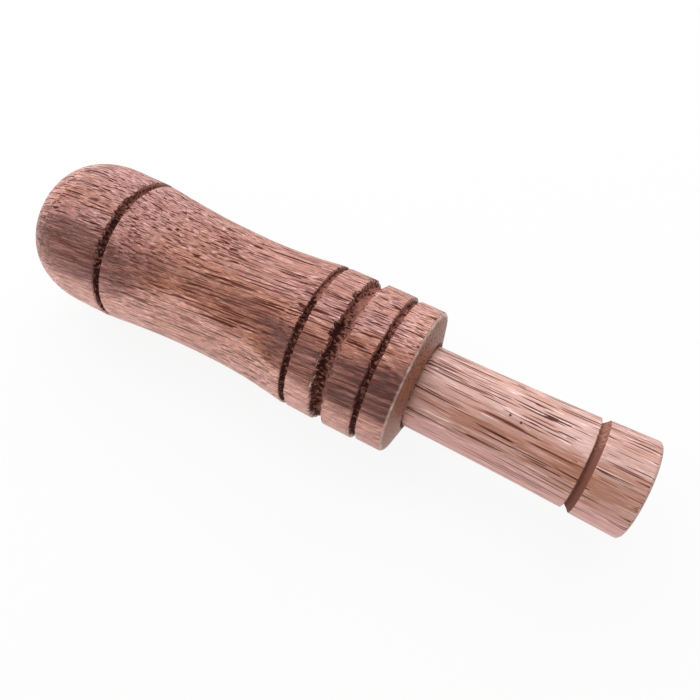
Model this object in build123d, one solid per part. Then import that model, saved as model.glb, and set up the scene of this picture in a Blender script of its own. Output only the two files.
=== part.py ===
from build123d import *
import os

# A turned wooden bird call, in millimetres.
# The barrel is the half that is blown into. The insert plugs into the barrel's socket on two rubber
# rings, and carries the tone board, the two reeds and the cork wedge that clamps them.
# The call lies on its side along X, with the mouth end at -X and the exhaust end at +X.
# The origin is on the surface that it lies on, under the middle of its length.

# Barrel outside, in order from the mouth end
# The mouth bead keeps the size of the blank, and each cut is how far a feature is turned below it
blank_radius = 17.8
barrel_length = 99.8
dome_length = 13.7
mouth_bead_length = 22.1
mouth_groove_width = 2.3
mouth_groove_depth = 1.2
waist_start_cut = 0.2
waist_fall_length = 27.5
waist_cut = 1.95
waist_end_cut = 0.35
waist_groove_width = 2.0
waist_groove_depth = 1.0
first_ring_length = 5.9
first_ring_cut = 0.25
lanyard_groove_width = 3.6
lanyard_groove_depth = 1.7
lanyard_groove_slope = 1.2
middle_ring_length = 6.4
middle_ring_cut = 0.2
end_groove_width = 1.9
end_groove_depth = 1.0
end_ring_length = 6.2
end_ring_cut = 0.6
end_ring_chamfer = 0.4
end_face_rise = 1.6
groove_wall_lean = 0.3

# Barrel inside
mouth_bore_radius = 6.5
mouth_bore_length = 14.0
mouth_lip_radius = 1.2
mouth_face_width = 1.8
socket_depth = 21.3
socket_step = 1.6
socket_chamfer = 0.3

# Insert outside, in order from the barrel's end face
insert_joint_radius = 9.8
insert_reach = 50.6
insert_groove_flare = 0.75
insert_flare_sag = 0.15
insert_groove_width = 1.9
insert_groove_depth = 1.15
insert_groove_slope = 1.2
end_band_length = 11.3
end_band_flare = 1.05
insert_end_flare = 1.4
insert_end_fillet = 0.8

# Insert inside
tenon_wall = 2.0
tenon_chamfer = 0.4
exhaust_shoulder = 1.75
bell_length = 10.0
bell_flare = 1.75

# Rubber rings
o_ring_section = 1.8
front_ring_setback = 2.2
rear_ring_setback = 3.0

# Tone board
plug_length = 17.5
collar_length = 15.0
tongue_relief = 0.4
tip_room = 8.75
tip_rounding = 1.5
table_flat_length = 3.0
table_drop = 1.2
channel_radius = 2.6
channel_roof = 0.6
channel_lip = 3.5
outlet_step = 0.25
pocket_depth = 12.0
pocket_height = 4.2
pocket_taper = 0.5

# Reeds and the wedge that clamps them
reed_inset = 1.8
reed_corner_radius = 4.5
main_reed_thickness = 0.35
main_reed_setback = 1.5
top_reed_thickness = 0.25
top_reed_setback = 5.5
wedge_overhang = 1.2
wedge_nose = 1.0

# Clearances
joint_gap = 0.55
seal_clearance = 0.025
ring_side_room = 0.2
chamber_clearance = 0.55
stop_gap = 0.1
glue_gap = 0.02
reed_side_room = 0.1
reed_end_room = 0.3

# Radii of the barrel's outside, turned from the blank
waist_start_radius = blank_radius - waist_start_cut
waist_radius = blank_radius - waist_cut
waist_end_radius = blank_radius - waist_end_cut
first_ring_radius = blank_radius - first_ring_cut
middle_ring_radius = blank_radius - middle_ring_cut
end_ring_radius = blank_radius - end_ring_cut

# Radii that follow from the insert's joint
socket_radius = insert_joint_radius + joint_gap
chamber_radius = socket_radius - socket_step
ring_floor_radius = socket_radius - 2 * seal_clearance - o_ring_section
plug_pocket_radius = ring_floor_radius - tenon_wall
exhaust_radius = plug_pocket_radius - exhaust_shoulder
collar_radius = chamber_radius - chamber_clearance
tongue_radius = collar_radius - tongue_relief
reed_width = 2 * (tongue_radius - reed_inset)
pocket_width = reed_width + 2 * reed_side_room
dome_face_radius = mouth_bore_radius + mouth_lip_radius + mouth_face_width

# Places along the axis, measured from the mouth end
overall_length = barrel_length + insert_reach
waist_start = mouth_bead_length + mouth_groove_width
waist_low = waist_start + waist_fall_length
end_ring_rim = barrel_length - end_face_rise
end_ring_start = end_ring_rim - end_ring_length
middle_ring_end = end_ring_start - end_groove_width
middle_ring_start = middle_ring_end - middle_ring_length
first_ring_end = middle_ring_start - lanyard_groove_width
first_ring_start = first_ring_end - first_ring_length
waist_end = first_ring_start - waist_groove_width
chamber_start = mouth_bore_length + chamber_radius - mouth_bore_radius
socket_start = barrel_length - socket_depth
insert_seat = socket_start + stop_gap
end_band_start = overall_length - end_band_length
insert_groove_start = end_band_start - insert_groove_width
collar_start = insert_seat - collar_length
tongue_tip = chamber_start + tip_room
pocket_end = collar_start + pocket_depth
reed_tail = pocket_end - reed_end_room


def turned(*outline):
    """A solid of revolution from a closed outline of (distance along the axis, radius) edges."""
    return revolve(make_face(outline), Axis.X)


def rod(start, end, radius):
    """A round bar along the axis."""
    bar = Cylinder(radius, end - start, align=(Align.CENTER, Align.CENTER, Align.MIN))
    return Pos(start, 0, 0) * Rot(0, 90, 0) * bar


def side_slab(width, *outline):
    """A slab of the given width across the axis, from a closed outline seen from the side."""
    face = Plane.XZ * make_face(outline)
    return extrude(face, width / 2, both=True)


def groove(start, end, start_radius, end_radius, depth, end_lean=groove_wall_lean):
    """The points of a turned groove: a steep first wall, a flat floor and a second wall."""
    floor_radius = min(start_radius, end_radius) - depth
    return [
        (start, start_radius),
        (start + groove_wall_lean, floor_radius),
        (end - end_lean, floor_radius),
        (end, end_radius),
    ]


def make_barrel():
    """Domed mouth bead, hollow-curved waist and three rings, with a coned end, bored for the insert."""
    dome_rise = blank_radius - dome_face_radius
    dome = EllipticalCenterArc(
        (dome_length, dome_face_radius), dome_length, dome_rise, start_angle=90, arc_size=90
    )
    bead = Polyline(
        (dome_length, blank_radius),
        *groove(mouth_bead_length, waist_start, blank_radius, waist_start_radius, mouth_groove_depth),
    )
    lowest = (waist_low, waist_radius)
    waist_fall = TangentArc(lowest, (waist_start, waist_start_radius), tangent=(-1, 0))
    waist_climb = TangentArc(lowest, (waist_end, waist_end_radius), tangent=(1, 0))
    rings = Polyline(
        *groove(waist_end, first_ring_start, waist_end_radius, waist_end_radius, waist_groove_depth),
        *groove(
            first_ring_end,
            middle_ring_start,
            first_ring_radius,
            middle_ring_radius,
            lanyard_groove_depth,
            lanyard_groove_slope,
        ),
        *groove(middle_ring_end, end_ring_start, middle_ring_radius, end_ring_radius, end_groove_depth),
        (end_ring_rim - end_ring_chamfer, end_ring_radius),
        (end_ring_rim, end_ring_radius - end_ring_chamfer),
    )
    bore = Polyline(
        (end_ring_rim, end_ring_radius - end_ring_chamfer),
        (barrel_length, socket_radius + socket_chamfer),
        (barrel_length - socket_chamfer, socket_radius),
        (socket_start, socket_radius),
        (socket_start, chamber_radius),
        (chamber_start, chamber_radius),
        (mouth_bore_length, mouth_bore_radius),
        (mouth_lip_radius, mouth_bore_radius),
    )
    lip = CenterArc((mouth_lip_radius, mouth_bore_radius + mouth_lip_radius), mouth_lip_radius, 180, 90)
    mouth_face = Line((0, mouth_bore_radius + mouth_lip_radius), (0, dome_face_radius))
    return turned(dome, bead, waist_fall, waist_climb, rings, bore, lip, mouth_face)


def make_insert():
    """Flared stem with a grooved end band, and a tenon with two ring grooves that enters the socket."""
    groove_radius = insert_joint_radius + insert_groove_flare
    band_radius = insert_joint_radius + end_band_flare
    end_radius = insert_joint_radius + insert_end_flare
    stem_middle = (barrel_length + insert_groove_start) / 2
    stem_middle_radius = (insert_joint_radius + groove_radius) / 2 - insert_flare_sag
    tenon = Polyline(
        (insert_seat, plug_pocket_radius),
        (insert_seat, insert_joint_radius - tenon_chamfer),
        (insert_seat + tenon_chamfer, insert_joint_radius),
        (barrel_length, insert_joint_radius),
    )
    stem = ThreePointArc(
        (barrel_length, insert_joint_radius),
        (stem_middle, stem_middle_radius),
        (insert_groove_start, groove_radius),
    )
    end_band = Polyline(
        *groove(
            insert_groove_start,
            end_band_start,
            groove_radius,
            band_radius,
            insert_groove_depth,
            insert_groove_slope,
        ),
        (overall_length - insert_end_fillet, end_radius),
    )
    end_edge = CenterArc(
        (overall_length - insert_end_fillet, end_radius - insert_end_fillet), insert_end_fillet, 0, 90
    )
    bore = Polyline(
        (overall_length, end_radius - insert_end_fillet),
        (overall_length, exhaust_radius + bell_flare),
        (overall_length - bell_length, exhaust_radius),
        (insert_seat + plug_length, exhaust_radius),
        (insert_seat + plug_length, plug_pocket_radius),
        (insert_seat, plug_pocket_radius),
    )
    body = turned(tenon, stem, end_band, end_edge, bore)
    half_groove = o_ring_section / 2 + ring_side_room
    for centre in ring_centres():
        groove_ring = rod(centre - half_groove, centre + half_groove, socket_radius)
        groove_floor = rod(centre - half_groove, centre + half_groove, ring_floor_radius)
        body -= groove_ring - groove_floor
    return body


def ring_centres():
    """Where the front and rear rubber rings sit along the axis."""
    return barrel_length - front_ring_setback, insert_seat + rear_ring_setback


def make_o_ring(centre):
    """A rubber ring, squeezed between the floor of its groove and the wall of the socket."""
    middle_radius = ring_floor_radius + seal_clearance + o_ring_section / 2
    return Pos(centre, 0, 0) * Rot(0, 90, 0) * Torus(middle_radius, o_ring_section / 2)


def make_tone_board():
    """Hollow plug glued in the insert, a collar that clamps the reeds, and the tongue under them."""
    table_start = collar_start - table_flat_length
    channel_axis = -channel_radius - channel_roof
    channel_end = tongue_tip + channel_lip
    plug = rod(insert_seat, insert_seat + plug_length, plug_pocket_radius - glue_gap)
    collar = rod(collar_start, insert_seat, collar_radius)
    tongue = rod(tongue_tip, collar_start, tongue_radius)
    tongue = fillet(tongue.edges().sort_by(Axis.X)[0], tip_rounding)
    under_table = side_slab(
        2 * tongue_radius,
        Polyline(
            (table_start, 0),
            (collar_start, 0),
            (collar_start, -tongue_radius),
            (tongue_tip, -tongue_radius),
            (tongue_tip, -table_drop),
        ),
        TangentArc((table_start, 0), (tongue_tip, -table_drop), tangent=(-1, 0)),
    )
    pocket = side_slab(
        pocket_width,
        Polyline(
            (collar_start, 0),
            (pocket_end, 0),
            (pocket_end, pocket_height - pocket_taper),
            (collar_start, pocket_height),
            close=True,
        ),
    )
    channel = Pos(0, 0, channel_axis) * rod(channel_end, insert_seat, channel_radius)
    channel += side_slab(
        2 * channel_radius,
        Polyline(
            (channel_end, channel_axis),
            (collar_start, channel_axis),
            (collar_start, tongue_radius),
            (channel_end, tongue_radius),
            close=True,
        ),
    )
    outlet = rod(insert_seat, insert_seat + plug_length, exhaust_radius - outlet_step)
    return plug + collar + (tongue & under_table) - pocket - channel - outlet


def make_reed(tip, thickness, height):
    """A flat strip with a rounded tip, from its tip to the bottom of the wedge pocket."""
    length = reed_tail - tip
    strip = Pos(tip + length / 2, 0, height) * Box(
        length, reed_width, thickness, align=(Align.CENTER, Align.CENTER, Align.MIN)
    )
    tip_corners = strip.edges().filter_by(Axis.Z).group_by(Axis.X)[0]
    return fillet(tip_corners, reed_corner_radius)


def make_wedge():
    """A cork wedge that fills the pocket over the reeds, with its front edge eased."""
    bottom = main_reed_thickness + top_reed_thickness
    front = collar_start - wedge_overhang
    tail_height = pocket_height - pocket_taper * (reed_tail - collar_start) / pocket_depth
    return side_slab(
        reed_width,
        Polyline(
            (front, bottom),
            (reed_tail, bottom),
            (reed_tail, tail_height),
            (collar_start, pocket_height),
            (front + wedge_nose, pocket_height),
            (front, pocket_height - wedge_nose),
            close=True,
        ),
    )


front_ring_place, rear_ring_place = ring_centres()
pieces = {
    "barrel": make_barrel(),
    "insert": make_insert(),
    "front_o_ring": make_o_ring(front_ring_place),
    "rear_o_ring": make_o_ring(rear_ring_place),
    "tone_board": make_tone_board(),
    "main_reed": make_reed(tongue_tip + main_reed_setback, main_reed_thickness, 0),
    "top_reed": make_reed(tongue_tip + top_reed_setback, top_reed_thickness, main_reed_thickness),
    "reed_wedge": make_wedge(),
}

os.makedirs("parts", exist_ok=True)
for name, piece in pieces.items():
    export_step(Pos(-overall_length / 2, 0, blank_radius) * piece, f"parts/{name}.step")
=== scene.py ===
import math
from dataclasses import dataclass

import bpy
import numpy as np
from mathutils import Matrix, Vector, noise
from mathutils.bvhtree import BVHTree


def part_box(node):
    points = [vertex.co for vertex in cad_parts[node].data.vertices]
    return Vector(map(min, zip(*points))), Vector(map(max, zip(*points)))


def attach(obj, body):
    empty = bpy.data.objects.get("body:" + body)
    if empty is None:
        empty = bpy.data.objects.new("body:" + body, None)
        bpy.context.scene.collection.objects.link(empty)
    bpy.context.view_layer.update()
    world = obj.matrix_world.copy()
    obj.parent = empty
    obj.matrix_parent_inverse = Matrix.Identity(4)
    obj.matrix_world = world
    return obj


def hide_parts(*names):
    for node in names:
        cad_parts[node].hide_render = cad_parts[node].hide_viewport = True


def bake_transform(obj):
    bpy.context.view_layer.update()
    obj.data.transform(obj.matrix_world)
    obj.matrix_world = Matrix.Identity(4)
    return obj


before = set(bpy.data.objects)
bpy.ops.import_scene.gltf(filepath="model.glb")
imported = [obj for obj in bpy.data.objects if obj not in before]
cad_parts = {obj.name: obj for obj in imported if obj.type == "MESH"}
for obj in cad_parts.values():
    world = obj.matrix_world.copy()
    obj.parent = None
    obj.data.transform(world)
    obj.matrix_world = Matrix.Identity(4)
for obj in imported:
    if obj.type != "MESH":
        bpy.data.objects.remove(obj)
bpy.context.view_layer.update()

MM = 0.001
barrel_low, barrel_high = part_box("barrel")
AXIS_HEIGHT = (barrel_low.z + barrel_high.z) / 2

# The camera, solved from the photograph
VIEW_AZIMUTH = math.radians(28.65)
VIEW_ELEVATION = math.radians(61.45)
VIEW_DISTANCE = 170.0 * MM
VIEW_LENS = 37.95
SENSOR_WIDTH = 36
CLIP_START = 10 * MM
AIM_ALONG_AXIS = 6.14 * MM
AIM_OFF_AXIS = 0.31 * MM

# The studio: how far the floor reaches, how much of it is plain white, and the light from all round
WHITE = (1, 1, 1)
FLOOR_REACH = 3.0
FLOOR_WHITE = 0.9
FLOOR_PAINT = (0.96, 0.96, 0.96)
FLOOR_ROUGHNESS = 0.9
WORLD_LIGHT = 0.25

# How the turned pieces are read from the CAD: the step, and which slope in which last stretch is the end face
READ_STEP = 0.02 * MM
STEEP = 1.5
END_SPAN = 1.8 * MM

# How finely they are meshed: the steps along the outside, near grooves and away from them, the closer rows
# at the start, where the barrel has its dome, and the steps down the end face and through the bore
FINE_STEP = 0.16 * MM
FINE_MARGIN = 0.9 * MM
STEP_GROWTH = 0.5
COARSE_STEP = 1.5 * MM
DOME_SPAN = 14 * MM
DOME_ROWS = 30
FACE_STEP = 0.4 * MM
LEAST_FACE_ROWS = 3
BORE_STEP = 4 * MM
BORE_EDGE = 2 * MM
BORE_EDGE_ROWS = 8

# What counts as a groove: the straight edge that bridges it, and how deep it has to be
BRIDGE_SPAN = 4.6 * MM
GROOVE_LIP = 0.1 * MM
LEAST_GROOVE = 0.4 * MM

# How a groove is torn: the stretch beside it that is moved, the width of its wall, the angle up from the
# front where tears are longest, and the least share of them elsewhere
GROOVE_SIDE = 2 * MM
WALL = 0.3 * MM
TORN_ANGLE = 84
LEAST_TEAR = 0.25

# How tears are made from noise: the bites out of the left edge, and the ragged right edge
RUNS_IN_BITES = 1.3
BITE_RISE = (0.0, 0.5)
BITE_LEVEL = 0.6
BITE_SWING = 0.6
RUNS_IN_RAGS = 0.5
RAG_LEVEL = 0.3

# The lip of pale splinters, partly painted glints, along the left edge: how far it starts before it and fades
# after it, and in which runs
LIP_BEFORE = 0.35 * MM
LIP_AFTER = (0.1 * MM, 0.35 * MM)
LIP_RUNS = (-0.1, 0.2)

# How the inside of a groove is ripped, between which shares of its depth, and where its right side is clean
RIPPED_DEPTH = (0.1, 0.7)
CLEAN_SIDE = (0.6, 0.9)
RIP_SWING = 0.8
RIP_SINK = 0.25

# How it is burnt: how far the scorched edge wanders, and the angle up from the front round which the grooves
# are less black
SCORCH_WANDER = 0.4 / MM
SCORCH_FROM = 0.02
LESS_BLACK_ANGLE = 118
LESS_BLACK_SPREAD = (0.76, 0.97)
LESS_BLACK_SHARE = 0.42

# The wear of the end face's rim, pale as worn wood and as a painted highlight, and of the whole outside
RIM_BEFORE = 0.7 * MM
RIM_AFTER = 0.25 * MM
CHIP_LEVEL = 0.1
WORN_AND_LIT_RIM = (0.4, 0.8)
LEAST_WEAR_AND_HIGHLIGHT = 0.35
CHIP_WEAR_AND_HIGHLIGHT = 0.9
UNEVEN = 0.05 * MM

# How strokes run out over the dome: the share of the largest radius where that starts, and how much of the
# fall below it is kept
DOME_GRAIN = 0.9
DOME_FALL = 0.3

# What the turned meshes tell their material, one value at each point
MARKS = ("burn", "soot", "torn", "splinter_and_glint", "wear_and_highlight", "shade_and_heart", "sap", "calm", "warm", "end_face")

# The reeds: how much of their thickness is softened at the edges, and how they are meshed
REED_EDGE_SHARE = 0.2
REED_TIP = 5 * MM
REED_TIP_ROWS = 24
REED_ROWS = 40
REED_ACROSS = 11


@dataclass
class Field:
    """Smooth noise over a turned piece: the size of its lumps, its own seed and how much it weighs."""

    size: float | tuple
    seed: int
    weight: float = 1.0


# Each seed reads the noise at a place of its own, and each groove counts on from its own seed
SEED_SHIFT = 17.3
SEEDS_PER_GROOVE = 4

BITES = Field(1.6 * MM, seed=0, weight=0.75)
SMALL_BITES = Field(0.8 * MM, seed=90, weight=0.6)
RUNS = Field(5 * MM, seed=1)
RAGS = Field(0.6 * MM, seed=2)
NIBBLES = Field(0.35 * MM, seed=3, weight=0.12)
RIPS = Field((1.2 * MM, 0.6 * MM, 0.6 * MM), seed=20)
SMALL_RIPS = Field((0.5 * MM, 0.3 * MM, 0.3 * MM), seed=21, weight=0.6)
SCORCH = Field(0.6 * MM, seed=26)
CHIPS = Field(2.6 * MM, seed=23)
SMALL_CHIPS = Field(0.9 * MM, seed=27, weight=0.5)
WAVES = Field((14 * MM, 6 * MM, 6 * MM), seed=22, weight=0.5)

# These two move the stripes of the wood, in degrees
WANDER = Field((18 * MM, 5 * MM, 5 * MM), seed=24, weight=7)
SMALL_WANDER = Field((7 * MM, 1.5 * MM, 1.5 * MM), seed=25, weight=4)


def smooth(value, low, high):
    """0 below low, 1 above high, and a smooth rise between them."""
    share = np.clip((value - low) / (high - low), 0, 1)
    return share * share * (3 - 2 * share)


def lumps(points, field, seed):
    """The field's noise at each point, from minus its weight to its weight."""
    scaled = points / np.asarray(field.size) + SEED_SHIFT * (seed + field.seed)
    values = [noise.noise(p) for p in scaled.reshape(-1, 3).tolist()]
    return field.weight * np.array(values).reshape(points.shape[:-1])


def turn_at(up_from_front):
    """The angle round the axis, from +Y, of a place that many degrees up from the front."""
    return math.radians(180 - up_from_front)


def within_reach(values, half, pick):
    """The largest or least value within half a window of each place."""
    padded = np.pad(values, half, mode="edge")
    return pick(np.lib.stride_tricks.sliding_window_view(padded, 2 * half + 1), axis=1)


class Outline:
    """The outside and inside radius of a turned CAD node along its axis, read with rays."""

    def __init__(self, node):
        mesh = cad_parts[node].data
        corners = [v.co for v in mesh.vertices]
        tree = BVHTree.FromPolygons(corners, [p.vertices for p in mesh.polygons])
        low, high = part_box(node)
        self.start, self.end = low.x, high.x
        self.xs = np.arange(low.x + READ_STEP / 2, high.x, READ_STEP)
        above = 2 * high.z
        self.outer = np.array([self._ray(tree, x, above, -1) for x in self.xs])
        self.inner = np.array([self._ray(tree, x, AXIS_HEIGHT, 1) for x in self.xs])

    @staticmethod
    def _ray(tree, x, from_height, direction):
        place = tree.ray_cast(Vector((x, 0, from_height)), Vector((0, 0, direction)))[0]
        return place.z - AXIS_HEIGHT

    def outside(self, x):
        return np.interp(x, self.xs, self.outer)

    def inside(self, x):
        return np.interp(x, self.xs, self.inner)

    def grooves(self, past):
        """(start, end, depth) of each stretch beyond past that a short straight edge laid along the
        outside would bridge."""
        half = int(BRIDGE_SPAN / 2 / READ_STEP)
        bridged = within_reach(within_reach(self.outer, half, np.max), half, np.min)
        deep = bridged - self.outer
        inside = np.flatnonzero(deep > GROOVE_LIP)
        runs = np.split(inside, np.flatnonzero(np.diff(inside) > 1) + 1)
        found = [(self.xs[run[0]], self.xs[run[-1]], deep[run].max()) for run in runs]
        return [(low, high, depth) for low, high, depth in found if low > past and depth > LEAST_GROOVE]


OUTLINES = {node: Outline(node) for node in ("barrel", "insert")}


def row_places(start, end, fine_spans):
    """Places along the axis, close together in and beside the fine spans and further apart elsewhere."""
    places = [start]
    while places[-1] < end:
        x = places[-1]
        away = min(max(low - x, x - high, 0) for low, high in fine_spans)
        step = FINE_STEP + STEP_GROWTH * max(0, away - FINE_MARGIN)
        places.append(x + min(step, COARSE_STEP))
    places[-1] = end
    return np.array(places)


def eased(start, end, count):
    """Places from start to end, closest together at start, for a rounded edge."""
    return start + (end - start) * (1 - np.cos(np.linspace(0, math.pi / 2, count)))


def grid_mesh(name, rings):
    """A closed mesh from rings of points, joined round and also last to first."""
    rows, around = rings.shape[:2]
    index = np.arange(rows * around).reshape(rows, around)
    right = np.roll(index, -1, axis=1)
    faces = np.stack([np.roll(index, -1, axis=0), np.roll(right, -1, axis=0), right, index], axis=-1)
    mesh = bpy.data.meshes.new(name)
    mesh.from_pydata(rings.reshape(-1, 3).tolist(), [], faces.reshape(-1, 4).tolist())
    mesh.shade_smooth()
    mesh.update()
    return mesh


def add_object(name, mesh, material):
    made = bpy.data.objects.new(name, mesh)
    bpy.context.scene.collection.objects.link(made)
    mesh.materials.append(material)
    return made


@dataclass
class GrooveStyle:
    """How one groove was cut: how far each edge stands inside the cut and how far tears reach out from it,
    how rough it is, between which shares of its depth it turns burnt, how black the burn is at its left
    and right, how far pits spread beside its left edge, and how many pale splinters and painted glints there
    are."""

    left_inset: float
    left_tear: float
    right_inset: float
    right_tear: float
    rough: float
    burn: tuple
    soot: tuple
    torn: float
    splinters_and_glints: float


BARREL_GROOVES = [
    GrooveStyle(
        left_inset=0.25 * MM, left_tear=0.75 * MM, right_inset=0.15 * MM, right_tear=0.05 * MM,
        rough=0.5 * MM, burn=(0.06, 0.35), soot=(0.72, 0.98), torn=0.8 * MM, splinters_and_glints=0.3,
    ),
    GrooveStyle(
        left_inset=0.42 * MM, left_tear=0.30 * MM, right_inset=0.0, right_tear=0.25 * MM,
        rough=0.4 * MM, burn=(0.06, 0.35), soot=(0.88, 0.72), torn=0.5 * MM, splinters_and_glints=0.0,
    ),
    GrooveStyle(
        left_inset=0.42 * MM, left_tear=1.30 * MM, right_inset=0.0, right_tear=0.60 * MM,
        rough=0.75 * MM, burn=(0.10, 0.50), soot=(0.95, 0.32), torn=0.9 * MM, splinters_and_glints=0.7,
    ),
    GrooveStyle(
        left_inset=0.34 * MM, left_tear=0.45 * MM, right_inset=0.0, right_tear=0.20 * MM,
        rough=0.4 * MM, burn=(0.06, 0.35), soot=(0.90, 0.66), torn=0.6 * MM, splinters_and_glints=0.2,
    ),
]
INSERT_GROOVES = [
    GrooveStyle(
        left_inset=0.25 * MM, left_tear=0.10 * MM, right_inset=-0.32 * MM, right_tear=0.0,
        rough=0.12 * MM, burn=(0.02, 0.10), soot=(0.80, 1.0), torn=0.3 * MM, splinters_and_glints=0.0,
    ),
]


class Stripe:
    """A band along a piece, between two angles up from the front in degrees, with edges blurred over soft
    degrees to each side: painted shade with darker heartwood, a painted sheen, warmer wood or calmer wood.
    Each list goes with the places, which are millimetres from the mouth end."""

    def __init__(self, places, share, low, high, soft):
        self.places = np.array(places) * MM
        self.share = share
        self.low = low
        self.high = high
        self.soft = soft

    def at(self, from_mouth, angle):
        share, low, high = (
            np.interp(from_mouth, self.places, values) for values in (self.share, self.low, self.high)
        )
        above = smooth(angle, low - self.soft, low + self.soft)
        below = 1 - smooth(angle, high - self.soft, high + self.soft)
        return share * above * below


FIBRE_SAMPLES = 200


class Fibre:
    """Which way the fibres run, by millimetres from the mouth end: degrees of rise, and one sideways tilt."""

    def __init__(self, places, rise, tilt):
        self.xs = np.linspace(places[0], places[-1], FIBRE_SAMPLES) * MM
        slope = np.tan(np.radians(np.interp(self.xs, np.array(places) * MM, rise)))
        self.heights = np.concatenate([[0], np.cumsum(slope[:-1] * np.diff(self.xs))])
        self.lean = math.tan(math.radians(tilt))

    def straighten(self, points):
        """The points moved so that every fibre through them lies straight along x."""
        from_mouth = points[..., 0] - barrel_low.x
        across = points[..., 1] - self.lean * from_mouth
        up = points[..., 2] - np.interp(from_mouth, self.xs, self.heights)
        return np.stack([points[..., 0], across, up], axis=-1)


BARREL_FIBRE = Fibre(places=[0, 20, 27, 62, 74, 88, 98], rise=[10, 7, 4, 4.5, 4, 4, 6], tilt=3)
INSERT_FIBRE = Fibre(places=[78, 151], rise=[-0.6, -0.6], tilt=-1)

BARREL_STRIPES = {
    # Painted shade: a darker band from about 30 to 70 degrees up from the front, where the wood lies in shade
    "shade_and_heart": [
        Stripe(
            places=[0, 8, 22, 29, 36, 44, 56, 64, 69, 77, 87, 95, 100],
            share=[0.4, 0.6, 0.65, 0.6, 0.45, 0.36, 0.36, 0.50, 0.68, 0.50, 0.84, 1.0, 1.0],
            low=[38, 28, 26, 28, 42, 50, 53, 48, 34, 29, 27, 28, 28],
            high=[58, 62, 63, 64, 68, 70, 70, 68, 66, 64, 63, 70, 70],
            soft=9,
        ),
        # The two bands below are darker heartwood round the back
        Stripe([0, 40, 100], [0.5, 0.4, 0.6], [-176, -172, -170], [-140, -148, -136], 9),
        Stripe([0, 40, 100], [0.6, 0.5, 0.5], [-112, -106, -108], [-78, -84, -74], 9),
    ],
    "sap": [
        # Painted sheen: paler low at the front, where light from the floor is reflected
        Stripe(
            places=[0, 22, 29, 36, 44, 60, 66, 70, 77, 100],
            share=[1.0, 1.0, 0.95, 0.8, 0.75, 0.75, 0.9, 1.0, 0.95, 0.5],
            low=[-60] * 10,
            high=[18, 20, 24, 36, 42, 40, 34, 28, 24, 25],
            soft=7,
        ),
        # Painted sheen: a pale rim all round the end of the dome
        Stripe([0, 4, 10], [0.7, 0.4, 0.0], [-200] * 3, [200] * 3, 5),
        # Painted sheen: a pale upper edge towards the end face
        Stripe([58, 80, 91, 94, 100], [0.0, 0.05, 0.1, 0.45, 0.5], [84] * 5, [150] * 5, 14),
    ],
    "warm": [
        Stripe([24, 38, 66, 73], [0.0, 1.0, 1.0, 0.2], [-60] * 4, [86] * 4, 14),
        Stripe([0, 100], [0.8, 0.8], [-200] * 2, [-100] * 2, 14),
    ],
    "calm": [
        Stripe([0, 12, 22, 24, 36], [0.4, 0.55, 0.55, 0.4, 0.3], [-60] * 5, [44, 46, 44, 36, 36], 8),
        Stripe([36, 40, 72], [0.3, 0.4, 0.4], [-60] * 3, [38] * 3, 8),
        Stripe([72, 76, 98], [0.0, 0.7, 0.7], [-60] * 3, [30, 34, 34], 8),
    ],
}
INSERT_STRIPES = {
    "shade_and_heart": [
        # Painted shade: a darker, tan band across the front of the insert
        Stripe(
            places=[96, 112, 134, 140, 151],
            share=[0.58, 0.66, 0.83, 0.70, 0.60],
            low=[36, 32, 29, 27, 26],
            high=[73, 74, 74, 74, 74],
            soft=9,
        ),
        # The two bands below are darker wood over the top and underneath
        Stripe([96, 134, 140, 151], [0.3, 0.3, 0.36, 0.36], [104, 104, 80, 80], [150] * 4, 9),
        Stripe([96, 151], [0.6, 0.7], [-150, -146], [-104, -110], 9),
    ],
    # Painted sheen: paler low at the front of the insert, where light from the floor is reflected
    "sap": [Stripe([96, 151], [0.6, 0.7], [-60, -60], [28, 26], 7)],
    "calm": [Stripe([96, 151], [0.45, 0.45], [-60, -60], [24, 24], 7)],
}


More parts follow.
